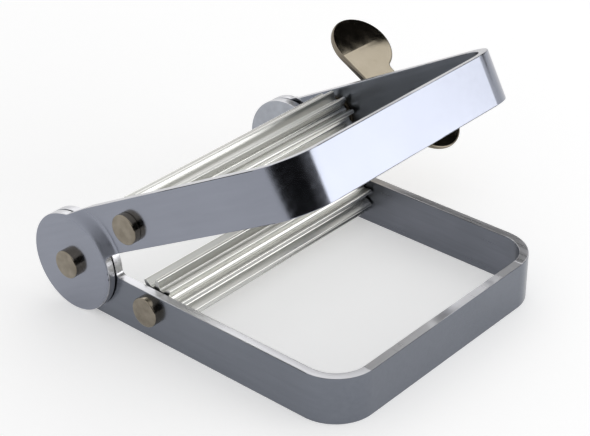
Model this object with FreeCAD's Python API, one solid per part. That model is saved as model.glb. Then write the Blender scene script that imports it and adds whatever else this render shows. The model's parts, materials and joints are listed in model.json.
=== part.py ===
"""Paper crimper with crank: two hinged U frames carry a pair of fluted rollers, and a wing key turns them.

Millimetres, +X from the hinge to the closed end of the frames, +Y along the rollers to the key side, +Z up.
The lower frame lies flat on z = 0.  Frame outlines are drawn as if shut, with the hinge pin at x = 0, and the
upper frame is then swung open about the pin.  The finished tool is moved so that the bottom centre of its
bounding box is the origin.
"""
import math
import os

import FreeCAD
import Part
from FreeCAD import Vector

# ---- flat bar the two frames are bent from
BAR_WIDTH = 12.7
BAR_THICK = 2.4

# ---- frames
FRAME_WIDTH = 80.0          # over the outer faces of the arms
FRAME_LENGTH = 84.0         # hinge pin centre to the outer face of the closed end
BEND_RADIUS = 11.0          # outer radius of the two bends
OPEN_ANGLE = 29.0           # how far the upper frame stands open
EYE_NECK_RADIUS = 1.4       # inside corner where an eye runs into the arm's edge
STRAIGHT_START = 20.0       # where the plain arm takes over from the formed eye end

# ---- eyes and hinge
EYE_RADIUS = 13.0
UPPER_BAR_DROP = 0.9        # the upper bar's inner edge runs this far below the pin's centre
EYE_SPACER_THICK = 0.3
EYE_SPACER_RADIUS = 8.0
JOGGLE_INNER_RADIUS = 12.6  # outer skin starts to slope here
RIVET_RADIUS = 2.5
RIVET_HEAD_RADIUS = 3.5
RIVET_HEAD_HEIGHT = 2.8
RIVET_TAIL_RADIUS = 3.6
RIVET_TAIL_HEIGHT = 1.2
BACK_WASHER_RADIUS = 5.0
BACK_WASHER_THICK = 0.8

# ---- rollers
ROLLER_X = 24.0             # hinge pin to roller axis, along the arm
ROLLER_H = 5.0              # hinge plane to roller axis, the same for both so the flutes stay in step
TIP_RADIUS = 7.0
ROOT_RADIUS = 4.7
TIP_LAND = 0.9
ROOT_THICK = 1.9
FLUTES = 10

# ---- pins through the rollers
PIN_RADIUS = 2.5
PIN_HEAD_RADIUS = 3.7
PIN_HEAD_HEIGHT = 2.8

# ---- bushes and washers
BUSH_RADIUS = 3.5
BUSH_FLANGE_THICK = 1.0
ARM_BUSH_FLANGE_RADIUS = 5.0
IDLER_BUSH_DEPTH = 8.0
IDLER_BUSH_PROUD = 0.2      # the idler's bushes stand this far out of its ends
THRUST_WASHER_RADIUS = 5.0
THRUST_WASHER_THICK = 1.0

# ---- wing key
KEY_ANGLE = 148.0           # where the upper wing points, up from +X
KEY_THICK = 2.4
KEY_EDGE = 0.6              # broken rim of the plate
LOBE_RADIUS = 9.2
LOBE_REACH = 14.2           # shaft axis to the middle of a lobe
LOBE_OUT = 21.7             # outer face of the arm to the middle of a lobe
WEB_OUTER = 2.5             # straight outer edge of the web, beyond the lobes' middle
WEB_INNER = 8.3             # inner edge at the boss, on this side of the lobes' middle
WEB_CORNER_RADIUS = 1.4
BOSS_RADIUS = 3.8
BOSS_SHORT = 2.4            # the boss ends this far before the lobes' middle
SOCKET_SHORT = 6.0          # and the hole for the shaft this far before it
CROSS_PIN_RADIUS = 1.0
CROSS_PIN_OUT = 7.0         # outer face of the arm to the cross pin
CROSS_PIN_PROUD = 0.25

# ---- clearances
RUNNING_FIT = 0.05          # radial, shaft in its bearing
FACE_CLEAR = 0.1            # between a turning face and the arm beside it
END_FLOAT = 0.3             # roller end to its bush or arm

# ---- sizes that follow from the ones above
HINGE_Z = EYE_RADIUS        # the lower eye is flush with the underside of its bar
LOWER_BAR_DROP = EYE_RADIUS - BAR_WIDTH
ARM_OUT = FRAME_WIDTH / 2
ARM_IN = ARM_OUT - BAR_THICK
EYE_IN = ARM_OUT + EYE_SPACER_THICK
EYE_OUT = EYE_IN + BAR_THICK
JOGGLE = EYE_OUT - ARM_OUT
DRIVE_END = ARM_IN - BUSH_FLANGE_THICK - END_FLOAT
IDLER_END = ARM_IN - IDLER_BUSH_PROUD - END_FLOAT
LOBE_Y = ARM_OUT + LOBE_OUT
SOCKET_END_Y = LOBE_Y - SOCKET_SHORT
MIDDLE_X = (FRAME_LENGTH - EYE_RADIUS) / 2
MIDDLE_Y = (LOBE_Y + LOBE_RADIUS - EYE_OUT - RIVET_HEAD_HEIGHT) / 2

Y_AXIS = Vector(0, 1, 0)


# ---------------------------------------------------------------- drawing helpers
def rounded_face(corners):
    """Closed outline in the XY plane from (x, y, corner radius) points."""
    edges = []
    ends = []
    count = len(corners)
    for i in range(count):
        here = Vector(corners[i][0], corners[i][1], 0)
        before = Vector(corners[i - 1][0], corners[i - 1][1], 0)
        after = Vector(corners[(i + 1) % count][0], corners[(i + 1) % count][1], 0)
        radius = corners[i][2]
        if radius == 0:
            ends.append((here, here))
            continue
        to_before = (before - here).normalize()
        to_after = (after - here).normalize()
        half = to_before.getAngle(to_after) / 2
        run = radius / math.tan(half)
        start = here + to_before * run
        end = here + to_after * run
        bisector = (to_before + to_after).normalize()
        middle = here + bisector * (radius / math.sin(half) - radius)
        edges.append(Part.Arc(start, middle, end).toShape())
        ends.append((start, end))
    for i in range(count):
        start = ends[i][1]
        end = ends[(i + 1) % count][0]
        if start.distanceToPoint(end) > 1e-6:
            edges.append(Part.makeLine(start, end))
    return Part.Face(Part.Wire(Part.__sortEdges__(edges)))


def turned(corners):
    """Solid of revolution about the Y axis from (radius, y) points."""
    points = [Vector(radius, y, 0) for radius, y in corners]
    return Part.Face(Part.makePolygon(points + points[:1])).revolve(Vector(0, 0, 0), Y_AXIS, 360)


def cylinder_y(radius, y_from, y_to, x=0.0, z=0.0):
    return Part.makeCylinder(radius, y_to - y_from, Vector(x, y_from, z), Y_AXIS)


def ring_y(outer, inner, y_from, y_to):
    return cylinder_y(outer, y_from, y_to).cut(cylinder_y(inner, y_from, y_to))


def mirrored(shape):
    return shape.mirror(Vector(0, 0, 0), Y_AXIS)


def tangent_corner(line_height, radius, circle_radius):
    """Centre offset of a small arc that joins a straight edge to the outside of a circle."""
    height = line_height + radius
    return math.sqrt((circle_radius + radius) ** 2 - height ** 2), height


def tangent_foot(start, centre, radius, side):
    """Where a straight edge from start touches a circle, passing it on the given side."""
    across = centre - start
    reach = math.sqrt(across.Length ** 2 - radius ** 2)
    turn = side * math.asin(radius / across.Length)
    heading = math.atan2(across.y, across.x) + turn
    return start + Vector(math.cos(heading), math.sin(heading), 0) * reach


# ---------------------------------------------------------------- frames
def eye_outline(foot):
    """Eye and start of the arm seen along the pin, pin at the origin, in the XZ plane.

    foot is the height of the bar's inner edge; the bar lies above it.
    """
    reach, drop = tangent_corner(-foot, EYE_NECK_RADIUS, EYE_RADIUS)
    corner = Vector(reach, 0, -drop)
    on_eye = corner * (EYE_RADIUS / (EYE_RADIUS + EYE_NECK_RADIUS))
    on_edge = Vector(reach, 0, foot)
    between = corner + (((on_eye + on_edge) * 0.5) - corner).normalize() * EYE_NECK_RADIUS
    head = foot + BAR_WIDTH
    top = Vector(math.sqrt(max(EYE_RADIUS ** 2 - head ** 2, 0)), 0, head)
    edges = [
        Part.makeLine(top, Vector(STRAIGHT_START, 0, head)),
        Part.makeLine(Vector(STRAIGHT_START, 0, head), Vector(STRAIGHT_START, 0, foot)),
        Part.makeLine(Vector(STRAIGHT_START, 0, foot), on_edge),
        Part.Arc(on_edge, between, on_eye).toShape(),
        Part.Arc(on_eye, Vector(-EYE_RADIUS, 0, 0), top).toShape(),
    ]
    return Part.Face(Part.Wire(edges))


def bent_bar(foot):
    """U of flat bar on edge, standing on the height of its inner edge."""
    out = ARM_OUT
    inside = ARM_IN
    inner_bend = BEND_RADIUS - BAR_THICK
    outline = rounded_face([
        (STRAIGHT_START, -out, 0),
        (FRAME_LENGTH, -out, BEND_RADIUS),
        (FRAME_LENGTH, out, BEND_RADIUS),
        (STRAIGHT_START, out, 0),
        (STRAIGHT_START, inside, 0),
        (FRAME_LENGTH - BAR_THICK, inside, inner_bend),
        (FRAME_LENGTH - BAR_THICK, -inside, inner_bend),
        (STRAIGHT_START, -inside, 0),
    ])
    outline.translate(Vector(0, 0, foot))
    return outline.extrude(Vector(0, 0, BAR_WIDTH))


def flat_eye_end():
    """Near arm end of the lower frame: eye and arm in one plane."""
    end = eye_outline(LOWER_BAR_DROP).extrude(Vector(0, BAR_THICK, 0))
    end.translate(Vector(0, -ARM_OUT, 0))
    return end


def joggled_eye_end():
    """Near arm end of the upper frame: the eye is stepped outward along an arc round the pin."""
    slope_shift = BAR_THICK * math.tan(math.radians(22.5))
    outer_foot = JOGGLE_INNER_RADIUS
    inner_foot = outer_foot + slope_shift
    reach = STRAIGHT_START + BAR_WIDTH
    skin = turned([
        (0, -EYE_OUT),
        (outer_foot, -EYE_OUT),
        (outer_foot + JOGGLE, -ARM_OUT),
        (reach, -ARM_OUT),
        (reach, -ARM_IN),
        (inner_foot + JOGGLE, -ARM_IN),
        (inner_foot, -EYE_IN),
        (0, -EYE_IN),
    ])
    block = eye_outline(-UPPER_BAR_DROP).extrude(Vector(0, EYE_OUT - ARM_IN, 0))
    block.translate(Vector(0, -EYE_OUT, 0))
    return skin.common(block)


def drilled_frame(foot, eye_end, pin_hole, roller_hole):
    frame = bent_bar(foot).fuse([eye_end, mirrored(eye_end)]).removeSplitter()
    reach = EYE_OUT + 1
    frame = frame.cut(cylinder_y(pin_hole, -reach, reach))
    return frame.cut(cylinder_y(roller_hole, -reach, reach, ROLLER_X, ROLLER_H))


def upper_frame():
    return drilled_frame(-UPPER_BAR_DROP, joggled_eye_end(), RIVET_RADIUS + RUNNING_FIT, BUSH_RADIUS)


def lower_frame():
    frame = drilled_frame(LOWER_BAR_DROP, flat_eye_end(), RIVET_RADIUS, PIN_RADIUS)
    return frame.mirror(Vector(0, 0, 0), Vector(0, 0, 1))


# ---------------------------------------------------------------- hinge
def cheese_head(radius, height, shank_radius, y_face):
    """Outline points of a head from its outer end up to the bearing face at y_face."""
    top = y_face - height
    return [
        (0, top),
        (radius, top),
        (radius, y_face),
        (shank_radius, y_face),
    ]


def set_tail(shank_radius, y_face):
    """Outline points of a shank end set over against the washer face at y_face."""
    end = y_face + RIVET_TAIL_HEIGHT
    return [
        (shank_radius, y_face),
        (RIVET_TAIL_RADIUS, y_face),
        (shank_radius, end),
        (0, end),
    ]


def hinge_rivet():
    """Near rivet: cheese head outside, shank through both eyes, set over its washer inside."""
    head = cheese_head(RIVET_HEAD_RADIUS, RIVET_HEAD_HEIGHT, RIVET_RADIUS, -EYE_OUT)
    return turned(head + set_tail(RIVET_RADIUS, -ARM_IN + BACK_WASHER_THICK))


def hinge_spacer():
    return ring_y(EYE_SPACER_RADIUS, RIVET_RADIUS + RUNNING_FIT, -EYE_IN, -ARM_OUT)


def hinge_washer():
    return ring_y(BACK_WASHER_RADIUS, RIVET_RADIUS, -ARM_IN, -ARM_IN + BACK_WASHER_THICK)


# ---------------------------------------------------------------- rollers
def flute_point(radius, angle):
    return Vector(radius * math.cos(angle), 0, radius * math.sin(angle))


def fluted_bar(first_tooth, end):
    """Roller blank with straight flutes; first_tooth is the angle of one tooth, up from +X."""
    tip_half = TIP_LAND / 2 / TIP_RADIUS
    root_half = ROOT_THICK / 2 / ROOT_RADIUS
    pitch = 2 * math.pi / FLUTES
    edges = []
    for i in range(FLUTES):
        middle = math.radians(first_tooth) + i * pitch
        tip_start = flute_point(TIP_RADIUS, middle - tip_half)
        tip_end = flute_point(TIP_RADIUS, middle + tip_half)
        root_start = flute_point(ROOT_RADIUS, middle + root_half)
        root_end = flute_point(ROOT_RADIUS, middle + pitch - root_half)
        next_tip = flute_point(TIP_RADIUS, middle + pitch - tip_half)
        edges.append(Part.Arc(tip_start, flute_point(TIP_RADIUS, middle), tip_end).toShape())
        edges.append(Part.makeLine(tip_end, root_start))
        edges.append(Part.Arc(root_start, flute_point(ROOT_RADIUS, middle + pitch / 2), root_end).toShape())
        edges.append(Part.makeLine(root_end, next_tip))
    blank = Part.Face(Part.Wire(edges)).extrude(Vector(0, 2 * end, 0))
    blank.translate(Vector(0, -end, 0))
    return blank


def drive_roller():
    """Has a gap facing the idler, so that an idler tooth can enter it."""
    return fluted_bar(-90 + 180 / FLUTES, DRIVE_END).cut(cylinder_y(PIN_RADIUS, -DRIVE_END, DRIVE_END))


def idler_roller():
    """Has a tooth facing the drive roller, and is bored right through to the size of its bushes."""
    return fluted_bar(90, IDLER_END).cut(cylinder_y(BUSH_RADIUS, -IDLER_END, IDLER_END))


def drive_shaft():
    head = cheese_head(PIN_HEAD_RADIUS, PIN_HEAD_HEIGHT, PIN_RADIUS, -ARM_OUT - FACE_CLEAR)
    end = SOCKET_END_Y - END_FLOAT
    return turned(head + [(PIN_RADIUS, end), (0, end)]).cut(cross_pin_blank())


def idler_shaft():
    head = cheese_head(PIN_HEAD_RADIUS, PIN_HEAD_HEIGHT, PIN_RADIUS, -ARM_OUT)
    return turned(head + set_tail(PIN_RADIUS, ARM_OUT + BACK_WASHER_THICK))


def idler_end_washer():
    return ring_y(BACK_WASHER_RADIUS, PIN_RADIUS, ARM_OUT, ARM_OUT + BACK_WASHER_THICK)


def arm_bush():
    """Near bush of the drive shaft, pressed into the arm from inside up to its flange."""
    bore = PIN_RADIUS + RUNNING_FIT
    flange = ring_y(ARM_BUSH_FLANGE_RADIUS, bore, -ARM_IN, -ARM_IN + BUSH_FLANGE_THICK)
    return flange.fuse(ring_y(BUSH_RADIUS, bore, -ARM_OUT, -ARM_IN + BUSH_FLANGE_THICK)).removeSplitter()


def idler_bush():
    """Near bush of the idler, a plain sleeve pressed into the roller's end."""
    bore = PIN_RADIUS + RUNNING_FIT
    return ring_y(BUSH_RADIUS, bore, -IDLER_END - IDLER_BUSH_PROUD, -IDLER_END + IDLER_BUSH_DEPTH)


# ---------------------------------------------------------------- key
def cross_pin_blank():
    half = BOSS_RADIUS + CROSS_PIN_PROUD
    foot = Vector(0, ARM_OUT + CROSS_PIN_OUT, -half)
    pin = Part.makeCylinder(CROSS_PIN_RADIUS, 2 * half, foot, Vector(0, 0, 1))
    return pin.rotate(Vector(0, 0, 0), Y_AXIS, -KEY_ANGLE + OPEN_ANGLE)


def drive_thrust_washer():
    start = ARM_OUT + FACE_CLEAR
    return ring_y(THRUST_WASHER_RADIUS, PIN_RADIUS, start, start + THRUST_WASHER_THICK)


def wing_plate():
    """Two round lobes joined by a web, in the XY plane, shaft along Y."""
    outer = LOBE_Y + WEB_OUTER
    inner = Vector(0, LOBE_Y - WEB_INNER, 0)
    rise, height = tangent_corner(WEB_OUTER, WEB_CORNER_RADIUS, LOBE_RADIUS)
    share = LOBE_RADIUS / (LOBE_RADIUS + WEB_CORNER_RADIUS)
    edges = []
    for side in (1, -1):
        lobe = Vector(side * LOBE_REACH, LOBE_Y, 0)
        corner = lobe + Vector(-side * rise, height, 0)
        on_lobe = lobe + (corner - lobe) * share
        on_web = Vector(corner.x, outer, 0)
        between = corner + ((on_lobe + on_web) * 0.5 - corner).normalize() * WEB_CORNER_RADIUS
        foot = tangent_foot(inner, lobe, LOBE_RADIUS, -side)
        tip = Vector(lobe.x + side * LOBE_RADIUS, LOBE_Y, 0)
        edges.append(Part.Arc(foot, tip, on_lobe).toShape())
        edges.append(Part.Arc(on_lobe, between, on_web).toShape())
        edges.append(Part.makeLine(on_web, Vector(0, outer, 0)))
        edges.append(Part.makeLine(foot, inner))
    plate = Part.Face(Part.Wire(Part.__sortEdges__(edges))).extrude(Vector(0, 0, KEY_THICK))
    plate.translate(Vector(0, 0, -KEY_THICK / 2))
    rims = [e for e in plate.Edges if abs(abs(e.CenterOfMass.z) - KEY_THICK / 2) < 1e-6]
    return plate.makeChamfer(KEY_EDGE, rims)


def wing_key():
    start = ARM_OUT + FACE_CLEAR + THRUST_WASHER_THICK
    end = LOBE_Y - BOSS_SHORT
    key = cylinder_y(BOSS_RADIUS, start, end).fuse(wing_plate())
    key = key.rotate(Vector(0, 0, 0), Y_AXIS, -KEY_ANGLE + OPEN_ANGLE)
    return key.cut(cylinder_y(PIN_RADIUS, start, SOCKET_END_Y)).cut(cross_pin_blank())


# ---------------------------------------------------------------- assembly
def on_upper(shape, at_roller=False):
    """Set a shape drawn about its own axis into the upper frame, and swing it open."""
    if at_roller:
        shape.translate(Vector(ROLLER_X, 0, ROLLER_H))
    return shape.rotate(Vector(0, 0, 0), Y_AXIS, -OPEN_ANGLE)


def on_lower(shape):
    shape.translate(Vector(ROLLER_X, 0, -ROLLER_H))
    return shape


def tool():
    parts = {
        "lower_frame": lower_frame(),
        "upper_frame": on_upper(upper_frame()),
        "hinge_rivet_near": hinge_rivet(),
        "hinge_rivet_far": mirrored(hinge_rivet()),
        "hinge_spacer_near": hinge_spacer(),
        "hinge_spacer_far": mirrored(hinge_spacer()),
        "hinge_washer_near": hinge_washer(),
        "hinge_washer_far": mirrored(hinge_washer()),
        "drive_roller": on_upper(drive_roller(), True),
        "drive_shaft": on_upper(drive_shaft(), True),
        "drive_bush_near": on_upper(arm_bush(), True),
        "drive_bush_far": on_upper(mirrored(arm_bush()), True),
        "drive_thrust_washer": on_upper(drive_thrust_washer(), True),
        "wing_key": on_upper(wing_key(), True),
        "key_cross_pin": on_upper(cross_pin_blank(), True),
        "idler_roller": on_lower(idler_roller()),
        "idler_shaft": on_lower(idler_shaft()),
        "idler_bush_near": on_lower(idler_bush()),
        "idler_bush_far": on_lower(mirrored(idler_bush())),
        "idler_end_washer": on_lower(idler_end_washer()),
    }
    to_floor = Vector(-MIDDLE_X, -MIDDLE_Y, HINGE_Z)
    return {name: shape.Solids[0].translate(to_floor) for name, shape in parts.items()}


os.makedirs("parts", exist_ok=True)
for name, shape in tool().items():
    shape.exportStep("parts/" + name + ".step")
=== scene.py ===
"""Finished look of a paper crimper with crank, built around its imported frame.

Pieces are drawn in millimetres as if the tool were shut, with the hinge pin at the origin, +X towards the
closed end of the frames, +Y along the rollers to the key side and +Z up.  A matrix then takes each one to
its place in the frame, in metres.
"""
import json
import math

import bmesh
import bpy
from mathutils import Matrix, Vector


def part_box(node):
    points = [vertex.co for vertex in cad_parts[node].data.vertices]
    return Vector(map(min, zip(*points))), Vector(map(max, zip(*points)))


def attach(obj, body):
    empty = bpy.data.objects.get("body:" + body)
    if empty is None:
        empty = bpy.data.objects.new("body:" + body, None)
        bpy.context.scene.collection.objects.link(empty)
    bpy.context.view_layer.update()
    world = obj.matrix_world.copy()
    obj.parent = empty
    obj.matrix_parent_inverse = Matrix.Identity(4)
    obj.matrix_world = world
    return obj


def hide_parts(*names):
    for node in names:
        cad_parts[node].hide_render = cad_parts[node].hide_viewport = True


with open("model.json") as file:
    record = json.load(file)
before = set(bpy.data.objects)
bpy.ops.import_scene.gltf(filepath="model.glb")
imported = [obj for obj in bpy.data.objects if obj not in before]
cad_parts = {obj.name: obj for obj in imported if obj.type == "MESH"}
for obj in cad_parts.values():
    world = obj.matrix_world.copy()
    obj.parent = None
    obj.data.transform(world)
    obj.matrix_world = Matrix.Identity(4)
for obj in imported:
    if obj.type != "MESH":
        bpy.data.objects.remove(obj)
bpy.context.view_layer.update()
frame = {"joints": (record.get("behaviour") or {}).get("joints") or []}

MM = 0.001
X_AXIS, Y_AXIS, Z_AXIS = Vector((1, 0, 0)), Vector((0, 1, 0)), Vector((0, 0, 1))

# ---- axes of the joints
joint_at = {joint["name"]: Vector(joint["pos_m"]) / MM for joint in frame["joints"] if "pos_m" in joint}
HINGE = joint_at["frame_hinge"]
IDLER = joint_at["idler_spin"] - HINGE
DRIVE = joint_at["drive_spin"] - HINGE
ROLLER_X = IDLER.x
ROLLER_H = -IDLER.z
OPEN_ANGLE = math.atan2(DRIVE.z, DRIVE.x) - math.atan2(ROLLER_H, ROLLER_X)

# ---- frames
frame_low, frame_high = (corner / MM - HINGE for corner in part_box("lower_frame"))
EYE_RADIUS = -frame_low.x
FRAME_LENGTH = frame_high.x
ARM_OUT = frame_high.y
BAR_WIDTH = 12.7
BAR_THICK = 2.4
BEND_RADIUS = 11.0
EYE_NECK_RADIUS = 1.4
UPPER_BAR_DROP = 0.9
ARM_IN = ARM_OUT - BAR_THICK
LOWER_BAR_DROP = EYE_RADIUS - BAR_WIDTH
BAR_EDGE = 0.25             # broken edges of the bar
EYE_STEPS = 64
NECK_STEPS = 8
BEND_STEPS = 20

# ---- stepped eyes of the upper frame
EYE_GAP = 0.3
EYE_IN = ARM_OUT + EYE_GAP
EYE_OUT = EYE_IN + BAR_THICK
STEP = EYE_OUT - ARM_OUT
STEP_START = 12.2           # distance from the pin where the step begins
STEP_RUN = 3.5
STEP_FOLD = 1.0             # the inner skin turns this much further out
STEP_GRID_FROM = 3.0
STEP_GRID_TO = 20.0
STEP_GRID = 0.4
STEP_EASE = 3.0             # the step fades in over this much of x

# ---- hinge and roller pins
PIN_RADIUS = 2.5
RIVET_HEAD = (3.7, 1.9)     # radius and height
PIN_HEAD = (3.9, 1.9)
TAIL = (3.6, 1.2)
HEAD_ROUND = 0.3
TAIL_RIM_ROUND = 0.2
TAIL_DOME_ROUND = 0.4
WASHER_RADIUS = 5.0
WASHER_THICK = 0.8
WASHER_ROUND = 0.15
SPACER_RADIUS = 8.0
SPACER_ROUND = 0.08
RUNNING_FIT = 0.05
FACE_CLEAR = 0.1
END_FLOAT = 0.3

# ---- bushes
BUSH_RADIUS = 3.5
BUSH_FLANGE = 1.0
ARM_BUSH_FLANGE_RADIUS = 5.0
IDLER_BUSH_DEPTH = 8.0
IDLER_BUSH_PROUD = 0.2
THRUST_WASHER_THICK = 1.0

# ---- rollers
DRIVE_END = ARM_IN - BUSH_FLANGE - END_FLOAT
IDLER_END = ARM_IN - IDLER_BUSH_PROUD - END_FLOAT
TIP_RADIUS = 7.0
ROOT_RADIUS = 4.7
TIP_LAND = 0.9
ROOT_THICK = 1.9
FLUTES = 10
FLUTE_ROUND = 0.32
ROLLER_RIM = 0.15

# ---- wing key
KEY_ANGLE = math.radians(148)
KEY_THICK = 1.7
KEY_ROUND = 0.45
KEY_GRID = 0.8
TIP_THINNING = 0.45         # share of the thickness lost at a lobe's tip
LOBE_RADIUS = 9.2
LOBE_REACH = 14.2
LOBE_STEPS = 44
WEB_CORNER_STEPS = 6
LOBE_Y = ARM_OUT + 21.7
WEB_OUTER = 2.5
WEB_INNER = 8.3
WEB_CORNER_RADIUS = 1.4
BOSS_RADIUS = 3.8
BOSS_DOME = 1.6
BOSS_RIM = 0.2
BOSS_END_Y = LOBE_Y - 2.4
SOCKET_END_Y = LOBE_Y - 6.0
CROSS_PIN_RADIUS = 1.0
CROSS_PIN_Y = ARM_OUT + 7.0
CROSS_PIN_PROUD = 0.25
CROSS_PIN_ROUND = 0.2

# ---- what counts as one point, one plane and one curve
SAME_POINT = 1e-4
JOIN_WITHIN = 1e-3
CUT_WITHIN = 1e-5
ON_PLANE = 0.01
FLAT = 0.99                 # least share of a normal along its axis
SHARP_ANGLE = math.radians(50)
SMOOTH_ANGLE = math.radians(40)

# ---- places
TO_FRAME = Matrix.Scale(MM, 4) @ Matrix.Translation(HINGE)
ON_LOWER = TO_FRAME
ON_UPPER = TO_FRAME @ Matrix.Rotation(-OPEN_ANGLE, 4, "Y")
AT_IDLER = ON_LOWER @ Matrix.Translation((ROLLER_X, 0, -ROLLER_H))
AT_DRIVE = ON_UPPER @ Matrix.Translation((ROLLER_X, 0, ROLLER_H))
KEY_TURN = Matrix.Rotation(OPEN_ANGLE - KEY_ANGLE, 4, "Y")
FAR_SIDE = Matrix.Scale(-1, 4, Y_AXIS)


# ---------------------------------------------------------------- shaders
class Nodes:
    """Short hand for wiring a node tree."""

    def __init__(self, tree):
        self.tree = tree
        tree.nodes.clear()

    def add(self, kind, links=None, **values):
        node = self.tree.nodes.new(kind)
        for key, value in values.items():
            setattr(node, key, value)
        for socket, source in (links or {}).items():
            self.feed(node.inputs[socket], source)
        return node

    def feed(self, socket, source):
        if isinstance(source, bpy.types.NodeSocket):
            self.tree.links.new(source, socket)
        else:
            socket.default_value = source


def new_material(name):
    material = bpy.data.materials.new(name)
    material.use_nodes = True
    return material, Nodes(material.node_tree)


def noise(nodes, vector, scale, detail=2.0):
    return nodes.add("ShaderNodeTexNoise", {"Vector": vector, "Scale": scale,
                                            "Detail": detail}).outputs["Fac"]


def spread(nodes, value, low, high):
    """Map the useful middle of a noise to a range."""
    return nodes.add("ShaderNodeMapRange", {"Value": value, "From Min": 0.3, "From Max": 0.7,
                                            "To Min": low, "To Max": high}).outputs["Result"]


def blended(nodes, share, first, second):
    mix = nodes.add("ShaderNodeMix", data_type="RGBA")
    nodes.feed(mix.inputs["Factor"], share)
    nodes.feed(mix.inputs["A"], (*first, 1))
    nodes.feed(mix.inputs["B"], (*second, 1))
    return mix.outputs["Result"]


def satin_metal(name, dark, light, roughness, grain_turn=0.0, grain=(60, 900, 900), bump=0.02,
                press_dull=0.0):
    """Brushed and plated metal in a colour that drifts between two tones.

    The grain runs along +X turned by grain_turn.
    press_dull is what the press adds to the roughness where it stretched the bar.
    """
    material, nodes = new_material(name)
    place = nodes.add("ShaderNodeTexCoord").outputs["Object"]
    levelled = nodes.add("ShaderNodeMapping", {"Vector": place, "Rotation": (0, grain_turn, 0)})
    along = nodes.add("ShaderNodeMapping", {"Vector": levelled.outputs["Vector"], "Scale": grain})
    streaks = noise(nodes, along.outputs["Vector"], scale=1.0, detail=3.0)
    drift = noise(nodes, place, scale=55.0)
    speckle = noise(nodes, place, scale=2600.0, detail=1.0)
    tone = nodes.add("ShaderNodeMath", {0: drift, 1: streaks}, operation="ADD")
    share = nodes.add("ShaderNodeMapRange", {"Value": tone.outputs[0], "From Min": 0.7, "From Max": 1.3})
    height = nodes.add("ShaderNodeMath", {0: streaks, 1: speckle}, operation="ADD").outputs[0]
    relief = nodes.add("ShaderNodeBump", {"Height": height, "Strength": bump, "Distance": 0.00004})
    gloss = spread(nodes, streaks, roughness - 0.03, roughness + 0.03)
    if press_dull:
        press = nodes.add("ShaderNodeAttribute", attribute_name="press").outputs["Fac"]
        gloss = nodes.add("ShaderNodeMath", {0: press, 1: press_dull, 2: gloss},
                          operation="MULTIPLY_ADD").outputs[0]
    shader = nodes.add("ShaderNodeBsdfPrincipled", {
        "Base Color": blended(nodes, share.outputs["Result"], dark, light),
        "Metallic": 1.0,
        "Roughness": gloss,
        "Normal": relief.outputs["Normal"],
    })
    nodes.add("ShaderNodeOutputMaterial", {"Surface": shader.outputs["BSDF"]})
    return material


def turned_metal(name, dark, light, roughness, bump=0.25):
    """Metal off the lathe: fine rings follow the distance along the turned profile."""
    material, nodes = new_material(name)
    run = nodes.add("ShaderNodeAttribute", attribute_name="lathe").outputs["Fac"]
    rings = nodes.add("ShaderNodeTexNoise", {"W": run, "Scale": 5.0, "Detail": 3.0},
                      noise_dimensions="1D").outputs["Fac"]
    place = nodes.add("ShaderNodeTexCoord").outputs["Object"]
    stain = noise(nodes, place, scale=420.0)
    share = spread(nodes, stain, 0.0, 1.0)
    relief = nodes.add("ShaderNodeBump", {"Height": rings, "Strength": bump, "Distance": 0.00003})
    shader = nodes.add("ShaderNodeBsdfPrincipled", {
        "Base Color": blended(nodes, share, dark, light),
        "Metallic": 1.0,
        "Roughness": spread(nodes, rings, roughness - 0.06, roughness + 0.06),
        "Normal": relief.outputs["Normal"],
    })
    nodes.add("ShaderNodeOutputMaterial", {"Surface": shader.outputs["BSDF"]})
    return material


upper_satin = satin_metal("upper_frame_plate", (0.252, 0.266, 0.312), (0.272, 0.287, 0.336), 0.18,
                          grain_turn=OPEN_ANGLE, press_dull=0.34)
# The lower frame is the same steel as the upper one; its plate tones are made darker as painted shade.
lower_satin_painted_shade = satin_metal("lower_frame_plate_painted_shade", (0.166, 0.179, 0.208), (0.188, 0.202, 0.233), 0.24)
# The inside faces of both frames get darker tones than the outside as painted shade.
upper_inside_painted_shade = satin_metal("upper_frame_inside_painted_shade", (0.18, 0.195, 0.23), (0.215, 0.232, 0.27), 0.30,
                           grain_turn=OPEN_ANGLE, bump=0.01)
lower_inside_painted_shade = satin_metal("lower_frame_inside_painted_shade", (0.15, 0.16, 0.185), (0.185, 0.195, 0.225), 0.30, bump=0.008)
rubbed_eye = turned_metal("rubbed_eye_face", (0.34, 0.355, 0.39), (0.40, 0.42, 0.46), 0.28, bump=0.02)
# The narrow edges of the bar are bare metal, and their lighter tone is also a painted highlight.
bare_edge_and_highlight = satin_metal("bare_bar_edge_and_painted_highlight", (0.52, 0.52, 0.54), (0.58, 0.58, 0.60), 0.30, bump=0.03)
milled_aluminium = satin_metal("milled_aluminium", (0.60, 0.60, 0.572), (0.66, 0.66, 0.632), 0.28,
                               grain=(200, 10, 200), bump=0.002)
warm_nickel = turned_metal("warm_nickel_heads", (0.20, 0.175, 0.138), (0.272, 0.242, 0.196), 0.20, bump=0.1)
bright_steel = turned_metal("bright_steel_washers", (0.42, 0.43, 0.45), (0.56, 0.57, 0.60), 0.32)
# The bronze of the bushes is darkened almost to black as painted shade in the gaps at the roller ends.
bronze_painted_shade = turned_metal("bronze_bushes_painted_shade", (0.05, 0.042, 0.03), (0.09, 0.075, 0.05), 0.36)
polished_nickel = satin_metal("polished_nickel_key", (0.45, 0.395, 0.30), (0.52, 0.46, 0.36), 0.08,
                              grain=(300, 300, 300), bump=0.003)
# The key's rim walls get a dark copy of the key's nickel as painted shade.
key_rim_painted_shade = satin_metal("nickel_key_rim_painted_shade", (0.16, 0.14, 0.11), (0.24, 0.21, 0.165), 0.22,
                         grain=(300, 300, 300))


# ---------------------------------------------------------------- mesh helpers
def bevel(bm, edges, width, segments=2):
    bmesh.ops.bevel(bm, geom=edges, offset=width, offset_type="OFFSET", segments=segments, profile=0.5,
                    affect="EDGES", clamp_overlap=False, material=-1)


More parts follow.
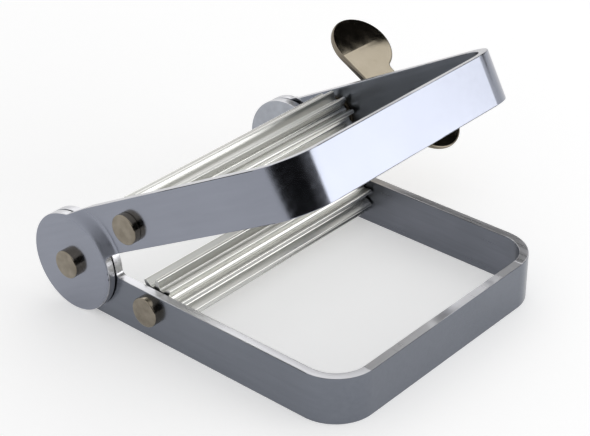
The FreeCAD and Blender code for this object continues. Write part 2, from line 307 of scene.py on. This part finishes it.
def round_corners(bm, corners, width, segments):
    bmesh.ops.bevel(bm, geom=corners, offset=width, offset_type="OFFSET", segments=segments, profile=0.5,
                    affect="VERTICES", clamp_overlap=True, material=-1)


def sharp_edges(bm):
    return [e for e in bm.edges if e.is_manifold and e.calc_face_angle() > SHARP_ANGLE]


def verts_of(items):
    return [item for item in items if isinstance(item, bmesh.types.BMVert)]


def faces_of(items):
    return [item for item in items if isinstance(item, bmesh.types.BMFace)]


def with_borders(faces):
    """Faces with their edges and corners, each once."""
    return list(dict.fromkeys(item for f in faces for item in (f, *f.edges, *f.verts)))


def merge(bm):
    bmesh.ops.remove_doubles(bm, verts=bm.verts, dist=SAME_POINT)
    bmesh.ops.recalc_face_normals(bm, faces=bm.faces)


def swept(bm, corner, centre, axis, angle, steps):
    """Sweep a corner along an arc and return the arc's last corner."""
    last = bmesh.ops.spin(bm, geom=[corner], cent=centre, axis=axis, angle=angle, steps=steps)["geom_last"]
    return verts_of(last)[0]


def thickened(bm, direction):
    """Extrude every face of a flat plate into a closed slab."""
    grown = bmesh.ops.extrude_face_region(bm, geom=bm.faces[:])["geom"]
    bmesh.ops.translate(bm, vec=direction, verts=verts_of(grown))
    bmesh.ops.recalc_face_normals(bm, faces=bm.faces)


def circle_y(bm, radius, x, y, z):
    place = Matrix.Translation((x, y, z)) @ Matrix.Rotation(math.pi / 2, 4, "X")
    ring = bmesh.ops.create_circle(bm, cap_ends=False, radius=radius, segments=40, matrix=place)["verts"]
    return list(dict.fromkeys(edge for v in ring for edge in v.link_edges))


def bored(bm, radius, x, z, y_from, y_to):
    """Sink a round hole along Y through a slab, from one skin to the other, and keep each skin's finish."""
    rings = [circle_y(bm, radius, x, y, z) for y in (y_from, y_to)]
    for ring, y in zip(rings, (y_from, y_to)):
        middle = Vector((x, y, z))
        skin = next(f for f in bm.faces if abs(f.normal.y) > FLAT
                    and abs(f.calc_center_median().y - y) < ON_PLANE
                    and bmesh.geometry.intersect_face_point(f, middle))
        rim = skin.edges[:]
        finish = skin.material_index
        bmesh.ops.delete(bm, geom=[skin], context="FACES_ONLY")
        filled = bmesh.ops.triangle_fill(bm, use_beauty=True, use_dissolve=False, edges=rim + ring)["geom"]
        for face in faces_of(filled):
            face.material_index = finish
    bmesh.ops.bridge_loops(bm, edges=rings[0] + rings[1])


def turned(profile, rounded=(), closed=False, segments=48):
    """Turn (radius, y) corners about the Y axis; rounded lists (corner index, width)."""
    bm = bmesh.new()
    lathe = bm.verts.layers.float.new("lathe")
    corners = [bm.verts.new((radius, y, 0)) for radius, y in profile]
    run = 0.0
    for i, corner in enumerate(corners):
        run += (corner.co - corners[i - 1].co).length if i else 0.0
        corner[lathe] = run
    for i in range(len(corners) - (0 if closed else 1)):
        bm.edges.new((corners[i], corners[(i + 1) % len(corners)]))
    bmesh.ops.spin(bm, geom=bm.verts[:] + bm.edges[:], cent=(0, 0, 0), axis=Y_AXIS, angle=2 * math.pi,
                   steps=segments, use_merge=True)
    merge(bm)
    for index, width in rounded:
        radius, y = profile[index]
        rim = [e for e in bm.edges
               if all(abs(v.co.y - y) < JOIN_WITHIN and
                      abs(math.hypot(v.co.x, v.co.z) - radius) < JOIN_WITHIN for v in e.verts)]
        bevel(bm, rim, width, 3)
    return bm


def linked(name, data):
    """New object in the scene that shows this mesh, lamp or camera."""
    thing = bpy.data.objects.new(name, data)
    bpy.context.scene.collection.objects.link(thing)
    return thing


def mesh_object(name, bm):
    mesh = bpy.data.meshes.new(name)
    bm.to_mesh(mesh)
    bm.free()
    return linked(name, mesh)


def finished(name, bm, place, body, slot, *materials):
    """Set a drawn piece into the frame in the place of the node of the same name."""
    merge(bm)
    bm.transform(place)
    bmesh.ops.recalc_face_normals(bm, faces=bm.faces)
    for face in bm.faces:
        face.smooth = True
    for edge in bm.edges:
        edge.smooth = not edge.is_manifold or edge.calc_face_angle() < SMOOTH_ANGLE
    piece = mesh_object(name + "_finished", bm)
    for material in materials:
        piece.data.materials.append(material)
    weighted = piece.modifiers.new("even_shading", "WEIGHTED_NORMAL")
    weighted.keep_sharp = True
    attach(piece, body)
    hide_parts(name)


def pair(name, draw, place, body, slot, material):
    """Near piece and its mirror image on the far side."""
    finished(name + "_near", draw(), place, body, slot, material)
    finished(name + "_far", draw(), place @ FAR_SIDE, body, slot, material)


# ---------------------------------------------------------------- frames
def eye_and_arm(foot):
    """Flat plate in the XZ plane: eye round the pin and arm up to the bend, standing on the height foot."""
    bm = bmesh.new()
    head = foot + BAR_WIDTH
    bend_x = FRAME_LENGTH - BEND_RADIUS
    drop = EYE_NECK_RADIUS - foot
    reach = math.sqrt((EYE_RADIUS + EYE_NECK_RADIUS) ** 2 - drop ** 2)
    neck = Vector((reach, 0, -drop))
    top = Vector((math.sqrt(max(EYE_RADIUS ** 2 - head ** 2, 0)), 0, head))
    eye_turn = 2 * math.pi - math.atan2(top.z, top.x) - math.atan2(drop, reach)
    neck_turn = math.pi / 2 - math.atan2(drop, reach)
    first = bm.verts.new(top)
    on_eye = swept(bm, first, (0, 0, 0), -Y_AXIS, eye_turn, EYE_STEPS)
    on_edge = swept(bm, on_eye, neck, Y_AXIS, neck_turn, NECK_STEPS)
    low = bm.verts.new((bend_x, 0, foot))
    high = bm.verts.new((bend_x, 0, head))
    for start, end in ((on_edge, low), (low, high), (high, first)):
        bm.edges.new((start, end))
    bmesh.ops.edgeloop_fill(bm, edges=bm.edges)
    return bm


def sliced(bm, low_x, high_x, normal, start, stop, step):
    """Cut the faces between two heights of x with evenly spaced planes."""
    for i in range(int(round((stop - start) / step)) + 1):
        here = [f for f in bm.faces if low_x < f.calc_center_median().x < high_x]
        bmesh.ops.bisect_plane(bm, geom=with_borders(here), dist=CUT_WITHIN,
                               plane_co=normal * (start + i * step), plane_no=normal)


def smooth_step(share):
    share = min(max(share, 0.0), 1.0)
    return share * share * (3 - 2 * share)


def stepped(bm):
    """Push the arm in from the raised eye along an arc round the pin, and mark what the press stretched."""
    press = bm.verts.layers.float.new("press")
    for v in bm.verts:
        inner = v.co.y > -(EYE_OUT + EYE_IN) / 2
        start = STEP_START + (STEP_FOLD if inner else 0.0)
        away = math.hypot(v.co.x, v.co.z)
        ease = smooth_step((v.co.x - STEP_GRID_FROM) / STEP_EASE)
        share = smooth_step((away - start) / STEP_RUN)
        v.co.y += STEP * ease * share
        v[press] = 2 * ease * math.sqrt(share * (1 - share))


def bent_round(bm):
    """Take the arm's end round the bend and along to the middle, where it stays open for its mirror image."""
    bend_x = FRAME_LENGTH - BEND_RADIUS
    end = next(f for f in bm.faces
               if f.normal.x > FLAT and abs(f.calc_center_median().x - bend_x) < ON_PLANE)
    centre = (bend_x, BEND_RADIUS - ARM_OUT, 0)
    last = bmesh.ops.spin(bm, geom=[end], cent=centre, axis=Z_AXIS, angle=math.pi / 2,
                          steps=BEND_STEPS)["geom_last"]
    grown = bmesh.ops.extrude_face_region(bm, geom=faces_of(last))["geom"]
    bmesh.ops.translate(bm, vec=(0, ARM_OUT - BEND_RADIUS, 0), verts=verts_of(grown))
    bmesh.ops.delete(bm, geom=faces_of(grown), context="FACES_ONLY")


def skin_of(face):
    """0 on the outside of the bar, 1 on its narrow edges (lighter, as bare metal and as a painted highlight),
    2 on the inside (darker, as painted shade) and 3 on the inside of the eyes.
    """
    if face.calc_center_median().x < STEP_START and face.normal.y > 0.5:
        return 3
    away = face.calc_center_median() - Vector((FRAME_LENGTH - BEND_RADIUS, BEND_RADIUS - ARM_OUT, 0))
    outward = Vector((max(away.x, 0), min(away.y, 0), 0)).normalized()
    share = face.normal.dot(outward)
    return 0 if share > 0.5 else 2 if share < -0.5 else 1


def mirrored_whole(bm):
    bmesh.ops.mirror(bm, geom=bm.verts[:] + bm.edges[:] + bm.faces[:], matrix=Matrix.Identity(4),
                     merge_dist=JOIN_WITHIN, axis="Y")
    merge(bm)


def frame_half(foot, eye_skin, pin_hole, roller_hole, is_stepped):
    """Near half of a frame; eye_skin is the distance of the eye's outer face from the middle."""
    bm = eye_and_arm(foot)
    sliced(bm, -math.inf, math.inf, X_AXIS, STEP_GRID_FROM, STEP_GRID_TO, STEP_GRID_TO - STEP_GRID_FROM)
    if is_stepped:
        sliced(bm, STEP_GRID_FROM, STEP_GRID_TO, X_AXIS, STEP_GRID_FROM + STEP_GRID, STEP_GRID_TO - STEP_GRID,
               STEP_GRID)
        sliced(bm, STEP_GRID_FROM, STEP_GRID_TO, Z_AXIS, STEP_GRID - EYE_RADIUS, foot + BAR_WIDTH - STEP_GRID,
               2 * STEP_GRID)
    bmesh.ops.translate(bm, vec=(0, -eye_skin, 0), verts=bm.verts)
    thickened(bm, (0, BAR_THICK, 0))
    if is_stepped:
        stepped(bm)
    bent_round(bm)
    bevel(bm, sharp_edges(bm), BAR_EDGE)
    bm.normal_update()
    for face in bm.faces:
        face.material_index = skin_of(face)
    bored(bm, pin_hole, 0, 0, -eye_skin, -eye_skin + BAR_THICK)
    bored(bm, roller_hole, ROLLER_X, ROLLER_H, -ARM_OUT, -ARM_IN)
    return bm


def upper_frame():
    bm = frame_half(-UPPER_BAR_DROP, EYE_OUT, PIN_RADIUS + RUNNING_FIT, BUSH_RADIUS, True)
    mirrored_whole(bm)
    finished("upper_frame", bm, ON_UPPER, "upper", "frame_steel", upper_satin, bare_edge_and_highlight, upper_inside_painted_shade,
             rubbed_eye)


def lower_frame():
    bm = frame_half(LOWER_BAR_DROP, ARM_OUT, PIN_RADIUS, PIN_RADIUS, False)
    mirrored_whole(bm)
    upside_down = Matrix.Scale(-1, 4, Z_AXIS)
    finished("lower_frame", bm, ON_LOWER @ upside_down, "base", "frame_steel", lower_satin_painted_shade, bare_edge_and_highlight,
             lower_inside_painted_shade, rubbed_eye)


# ---------------------------------------------------------------- pins, washers and bushes
def head_profile(head, face_y):
    """Half section of a pin from its head's middle to the shank; its second corner is the head's rim."""
    radius, height = head
    return [(0, face_y - height), (radius, face_y - height), (radius, face_y), (PIN_RADIUS, face_y)]


def tail_profile(face_y):
    """Half section of a set tail, from the shank to its middle."""
    radius, height = TAIL
    return [(PIN_RADIUS, face_y), (radius, face_y), (PIN_RADIUS, face_y + height), (0, face_y + height)]


def headed_pin(head, head_y, tail_y):
    profile = head_profile(head, head_y) + tail_profile(tail_y)
    return turned(profile, [(1, HEAD_ROUND), (5, TAIL_RIM_ROUND), (6, TAIL_DOME_ROUND)])


def hinge_rivet():
    return headed_pin(RIVET_HEAD, -EYE_OUT, -ARM_IN + WASHER_THICK)


def idler_shaft():
    return headed_pin(PIN_HEAD, -ARM_OUT, ARM_OUT + WASHER_THICK)


def drive_shaft():
    end = SOCKET_END_Y - END_FLOAT
    profile = head_profile(PIN_HEAD, -ARM_OUT - FACE_CLEAR) + [(PIN_RADIUS, end), (0, end)]
    return turned(profile, [(1, HEAD_ROUND)])


def ring(outer, inner, y_from, y_to, width=WASHER_ROUND):
    """Washer or sleeve along Y, its two outer rims rounded."""
    profile = [(outer, y_from), (outer, y_to), (inner, y_to), (inner, y_from)]
    return turned(profile, [(0, width), (1, width)], closed=True)


def hinge_spacer():
    return ring(SPACER_RADIUS, PIN_RADIUS + RUNNING_FIT, -EYE_IN, -ARM_OUT, SPACER_ROUND)


def hinge_washer():
    return ring(WASHER_RADIUS, PIN_RADIUS, -ARM_IN, -ARM_IN + WASHER_THICK)


def end_washer():
    return ring(WASHER_RADIUS, PIN_RADIUS, ARM_OUT, ARM_OUT + WASHER_THICK)


def thrust_washer():
    inner_face = ARM_OUT + FACE_CLEAR
    return ring(WASHER_RADIUS, PIN_RADIUS, inner_face, inner_face + THRUST_WASHER_THICK)


def arm_bush():
    """Near bush of the drive shaft, its flange against the inside of the arm."""
    bore = PIN_RADIUS + RUNNING_FIT
    flange_y = -ARM_IN + BUSH_FLANGE
    profile = [(ARM_BUSH_FLANGE_RADIUS, flange_y), (ARM_BUSH_FLANGE_RADIUS, -ARM_IN), (BUSH_RADIUS, -ARM_IN),
               (BUSH_RADIUS, -ARM_OUT), (bore, -ARM_OUT), (bore, flange_y)]
    return turned(profile, [(0, WASHER_ROUND), (1, WASHER_ROUND)], closed=True)


def idler_bush():
    """Near bush of the idler, a plain sleeve in the roller's end."""
    return ring(BUSH_RADIUS, PIN_RADIUS + RUNNING_FIT, -IDLER_END - IDLER_BUSH_PROUD,
                -IDLER_END + IDLER_BUSH_DEPTH)


# ---------------------------------------------------------------- rollers
def on_circle(radius, angle):
    return Vector((radius * math.cos(angle), 0, radius * math.sin(angle)))


def fluted_roller(first_tooth, end_y, bore_radius):
    """Bar with straight rounded flutes; first_tooth is the angle of one tooth, up from +X."""
    bm = bmesh.new()
    pitch = 2 * math.pi / FLUTES
    tip_half = TIP_LAND / 2 / TIP_RADIUS
    root_half = ROOT_THICK / 2 / ROOT_RADIUS
    flute = [(ROOT_RADIUS, root_half - pitch), (ROOT_RADIUS, -root_half), (TIP_RADIUS, -tip_half),
             (TIP_RADIUS, tip_half), (ROOT_RADIUS, root_half)]
    corners = [bm.verts.new(on_circle(radius, first_tooth + angle)) for radius, angle in flute]
    for start, end in zip(corners, corners[1:]):
        bm.edges.new((start, end))
    bmesh.ops.spin(bm, geom=bm.verts[:] + bm.edges[:], cent=(0, 0, 0), axis=Y_AXIS,
                   angle=pitch * (FLUTES - 1), steps=FLUTES - 1, use_duplicate=True)
    bmesh.ops.remove_doubles(bm, verts=bm.verts, dist=JOIN_WITHIN)
    bmesh.ops.edgeloop_fill(bm, edges=bm.edges)
    round_corners(bm, bm.verts[:], FLUTE_ROUND, 4)
    bmesh.ops.translate(bm, vec=(0, -end_y, 0), verts=bm.verts)
    thickened(bm, (0, 2 * end_y, 0))
    rims = [e for e in bm.edges if abs(e.verts[0].co.y - e.verts[1].co.y) < SAME_POINT]
    bevel(bm, rims, ROLLER_RIM)
    bm.normal_update()
    bored(bm, bore_radius, 0, 0, -end_y, end_y)
    return bm


def drive_roller():
    """Its flute faces straight down when the tool is shut, to take the idler's tooth."""
    return fluted_roller(math.radians(-90 + 180 / FLUTES), DRIVE_END, PIN_RADIUS)


def idler_roller():
    return fluted_roller(math.radians(90), IDLER_END, BUSH_RADIUS)


# ---------------------------------------------------------------- key
def lobe_half(bm, side):
    """Half outline of the wing in the XY plane, from the web's inner edge round the lobe to its outer one."""
    inner = Vector((0, LOBE_Y - WEB_INNER, 0))
    lobe = Vector((side * LOBE_REACH, LOBE_Y, 0))
    across = lobe - inner
    heading = math.atan2(across.y, across.x) - side * math.asin(LOBE_RADIUS / across.length)
    run = math.sqrt(across.length ** 2 - LOBE_RADIUS ** 2)
    foot = inner + Vector((math.cos(heading), math.sin(heading), 0)) * run
    height = WEB_OUTER + WEB_CORNER_RADIUS
    rise = math.sqrt((LOBE_RADIUS + WEB_CORNER_RADIUS) ** 2 - height ** 2)
    corner = lobe + Vector((-side * rise, height, 0))
    corner_angle = math.atan2(height, rise)
    foot_arm = foot - lobe
    foot_angle = math.atan2(-foot_arm.y, -side * foot_arm.x)
    start = bm.verts.new(inner)
    on_lobe = bm.verts.new(foot)
    bm.edges.new((start, on_lobe))
    lobe_turn = 2 * math.pi - foot_angle - corner_angle
    on_corner = swept(bm, on_lobe, lobe, Z_AXIS, side * lobe_turn, LOBE_STEPS)
    on_web = swept(bm, on_corner, corner, Z_AXIS, -side * (math.pi / 2 - corner_angle), WEB_CORNER_STEPS)
    bm.edges.new((on_web, bm.verts.new((0, LOBE_Y + WEB_OUTER, 0))))


def thinned(bm):
    """Thin each lobe towards its tip, in a curve that starts level half way in."""
    start = LOBE_REACH - LOBE_RADIUS / 2
    for i in range(int(2 * (LOBE_REACH + LOBE_RADIUS) / KEY_GRID)):
        flats = [f for f in bm.faces if abs(f.normal.z) > FLAT]
        here = (i + 0.5) * KEY_GRID - LOBE_REACH - LOBE_RADIUS
        bmesh.ops.bisect_plane(bm, geom=with_borders(flats), dist=CUT_WITHIN, plane_no=X_AXIS,
                               plane_co=X_AXIS * here)
    for v in bm.verts:
        to_tip = max((abs(v.co.x) - start) / (1.5 * LOBE_RADIUS), 0)
        v.co.z *= 1 - TIP_THINNING * to_tip ** 3


def wing_key():
    bm = bmesh.new()
    for side in (1, -1):
        lobe_half(bm, side)
    bmesh.ops.remove_doubles(bm, verts=bm.verts, dist=JOIN_WITHIN)
    bmesh.ops.edgeloop_fill(bm, edges=bm.edges)
    bmesh.ops.translate(bm, vec=(0, 0, -KEY_THICK / 2), verts=bm.verts)
    thickened(bm, (0, 0, KEY_THICK))
    bevel(bm, sharp_edges(bm), KEY_ROUND, 4)
    bm.normal_update()
    # Flat faces take the nickel, the rim walls its dark copy as painted shade.
    for face in bm.faces:
        face.material_index = 0 if abs(face.normal.z) > FLAT else 1
    thinned(bm)
    start = ARM_OUT + FACE_CLEAR + THRUST_WASHER_THICK
    boss = turned([(PIN_RADIUS, start), (BOSS_RADIUS, start), (BOSS_RADIUS, BOSS_END_Y), (0, BOSS_END_Y),
                   (0, SOCKET_END_Y), (PIN_RADIUS, SOCKET_END_Y)],
                  [(2, BOSS_DOME), (1, BOSS_RIM)], closed=True)
    joined = bpy.data.meshes.new("boss")
    boss.to_mesh(joined)
    boss.free()
    bm.from_mesh(joined)
    bpy.data.meshes.remove(joined)
    finished("wing_key", bm, AT_DRIVE @ KEY_TURN, "drive", "key_nickel", polished_nickel, key_rim_painted_shade)


def cross_pin():
    half = BOSS_RADIUS + CROSS_PIN_PROUD
    profile = [(0, -half), (CROSS_PIN_RADIUS, -half), (CROSS_PIN_RADIUS, half), (0, half)]
    upright = Matrix.Translation((0, CROSS_PIN_Y, 0)) @ Matrix.Rotation(math.pi / 2, 4, "X")
    bm = turned(profile, [(1, CROSS_PIN_ROUND), (2, CROSS_PIN_ROUND)], segments=24)
    finished("key_cross_pin", bm, AT_DRIVE @ KEY_TURN @ upright, "drive", "nickel_pin", warm_nickel)


# ---------------------------------------------------------------- tool
lower_frame()
upper_frame()
pair("hinge_rivet", hinge_rivet, ON_LOWER, "base", "nickel_pin", warm_nickel)
pair("hinge_spacer", hinge_spacer, ON_LOWER, "base", "washer_steel", bright_steel)
pair("hinge_washer", hinge_washer, ON_LOWER, "base", "washer_steel", bright_steel)
pair("drive_bush", arm_bush, AT_DRIVE, "upper", "bush_brass", bronze_painted_shade)
pair("idler_bush", idler_bush, AT_IDLER, "idler", "bush_brass", bronze_painted_shade)
finished("drive_roller", drive_roller(), AT_DRIVE, "drive", "roller_aluminium", milled_aluminium)
finished("idler_roller", idler_roller(), AT_IDLER, "idler", "roller_aluminium", milled_aluminium)
finished("drive_shaft", drive_shaft(), AT_DRIVE, "drive", "nickel_pin", warm_nickel)
finished("idler_shaft", idler_shaft(), AT_IDLER, "base", "nickel_pin", warm_nickel)
finished("idler_end_washer", end_washer(), AT_IDLER, "base", "washer_steel", bright_steel)
finished("drive_thrust_washer", thrust_washer(), AT_DRIVE, "drive", "washer_steel", bright_steel)
wing_key()
cross_pin()

# ---------------------------------------------------------------- studio
VIEW_AZIMUTH = math.radians(40.92)
VIEW_ELEVATION = math.radians(30.6)
VIEW_TARGET = Vector((0.0002, -0.0127, 0.0203))
VIEW_DISTANCE = 0.43012
LENS = 105.83
SENSOR_WIDTH = 36.0
FLOOR_SIZE = 6.0
FLOOR_PAINT = 0.86
FLOOR_LIFT = 0.355          # glow that camera and reflections see on top of the floor's own paint
BACKGROUND = 1.0
SKY_LIGHT = 0.62
DARK_CLOTH = 0.01


def grey(tone):
    return (tone, tone, tone, 1)


def in_view(nodes):
    """1 for the rays of the camera, of gloss and of glass, and 0 for those that carry soft light."""
    path = nodes.add("ShaderNodeLightPath")
    seen = path.outputs["Is Camera Ray"]
    for kind in ("Is Glossy Ray", "Is Transmission Ray"):
        seen = nodes.add("ShaderNodeMath", {0: seen, 1: path.outputs[kind]}, operation="MAXIMUM").outputs[0]
    return seen


def floor():
    bm = bmesh.new()
    bmesh.ops.create_grid(bm, x_segments=1, y_segments=1, size=FLOOR_SIZE / 2)
    board = mesh_object("floor", bm)
    material, nodes = new_material("pale_floor")
    paint = nodes.add("ShaderNodeBsdfDiffuse", {"Color": grey(FLOOR_PAINT)})
    lift = nodes.add("ShaderNodeEmission", {"Color": grey(1), "Strength": FLOOR_LIFT})
    both = nodes.add("ShaderNodeAddShader", {0: paint.outputs[0], 1: lift.outputs[0]})
    mix = nodes.add("ShaderNodeMixShader", {0: in_view(nodes), 1: paint.outputs[0], 2: both.outputs[0]})
    nodes.add("ShaderNodeOutputMaterial", {"Surface": mix.outputs[0]})
    board.data.materials.append(material)


def sky():
    world = bpy.data.worlds.new("studio_sky")
    bpy.context.scene.world = world
    world.use_nodes = True
    nodes = Nodes(world.node_tree)
    ambient = nodes.add("ShaderNodeBackground", {"Color": grey(1), "Strength": SKY_LIGHT})
    white = nodes.add("ShaderNodeBackground", {"Color": grey(1), "Strength": BACKGROUND})
    mix = nodes.add("ShaderNodeMixShader", {0: in_view(nodes), 1: ambient.outputs[0], 2: white.outputs[0]})
    nodes.add("ShaderNodeOutputWorld", {"Surface": mix.outputs[0]})


def softbox(name, place, aim, width, height, power):
    light = bpy.data.lights.new(name, "AREA")
    light.shape = "RECTANGLE"
    light.size = width
    light.size_y = height
    light.energy = power
    lamp = linked(name, light)
    lamp.location = place
    lamp.rotation_mode = "QUATERNION"
    lamp.rotation_quaternion = (Vector(aim) - Vector(place)).to_track_quat("-Z", "Y")
    lamp.visible_camera = False


def gloss_only(bm, name):
    """Hang a dark cloth that only reflections see."""
    cloth = mesh_object(name, bm)
    material, nodes = new_material(name)
    dark = nodes.add("ShaderNodeBsdfDiffuse", {"Color": grey(DARK_CLOTH)})
    nodes.add("ShaderNodeOutputMaterial", {"Surface": dark.outputs[0]})
    cloth.data.materials.append(material)
    cloth.visible_camera = False
    cloth.visible_diffuse = False
    cloth.visible_shadow = False


def screen(name, radius, from_azimuth, to_azimuth, low, high):
    """Dark curved screen round the object; azimuth as for the camera, in degrees."""
    bm = bmesh.new()
    start = math.radians(from_azimuth - 90)
    foot = bm.verts.new((radius * math.cos(start), radius * math.sin(start), low))
    bmesh.ops.spin(bm, geom=[foot], cent=(0, 0, 0), axis=Z_AXIS,
                   angle=math.radians(to_azimuth - from_azimuth), steps=16)
    grown = bmesh.ops.extrude_edge_only(bm, edges=bm.edges[:])["geom"]
    bmesh.ops.translate(bm, vec=(0, 0, high - low), verts=verts_of(grown))
    gloss_only(bm, name)


def card(name, width, height, centre, tilt):
    """Dark flat card, lying at tilt 0 and upright at a quarter turn."""
    bm = bmesh.new()
    bmesh.ops.create_grid(bm, x_segments=1, y_segments=1, size=0.5)
    bmesh.ops.scale(bm, vec=(width, height, 1), verts=bm.verts)
    bm.transform(Matrix.Translation(centre) @ Matrix.Rotation(tilt, 4, "X"))
    gloss_only(bm, name)


def viewpoint():
    camera = bpy.data.cameras.new("camera")
    camera.lens = LENS
    camera.sensor_width = SENSOR_WIDTH
    camera.clip_start = 0.01
    eye = linked("camera", camera)
    back = Vector((math.sin(VIEW_AZIMUTH) * math.cos(VIEW_ELEVATION),
                   -math.cos(VIEW_AZIMUTH) * math.cos(VIEW_ELEVATION), math.sin(VIEW_ELEVATION)))
    eye.location = VIEW_TARGET + back * VIEW_DISTANCE
    eye.rotation_mode = "QUATERNION"
    eye.rotation_quaternion = (-back).to_track_quat("-Z", "Y")
    bpy.context.scene.camera = eye


floor()
sky()
softbox("high_back_softbox", place=(-0.65, 0.75, 0.62), aim=(0, 0, 0.03), width=1.0, height=0.7, power=1.5)
softbox("right_softbox", place=(0.76, 0.27, 0.22), aim=(0.04, 0, 0.04), width=0.95, height=0.34, power=2.4)
screen("dark_front", radius=0.65, from_azimuth=4, to_azimuth=98, low=0.0, high=0.55)
card("dark_card_upper_lobe", width=0.152, height=0.12, centre=(-0.0842, 0.155, 0.13), tilt=math.pi / 2)
card("dark_card_lower_lobe", width=0.073, height=0.09, centre=(0.064, 0.155, 0.115), tilt=math.pi / 2)
card("dark_card_front", width=0.60, height=0.30, centre=(0.26, -0.50, 0.0005), tilt=0.0)
viewpoint()
bpy.context.scene.view_settings.view_transform = "Standard"
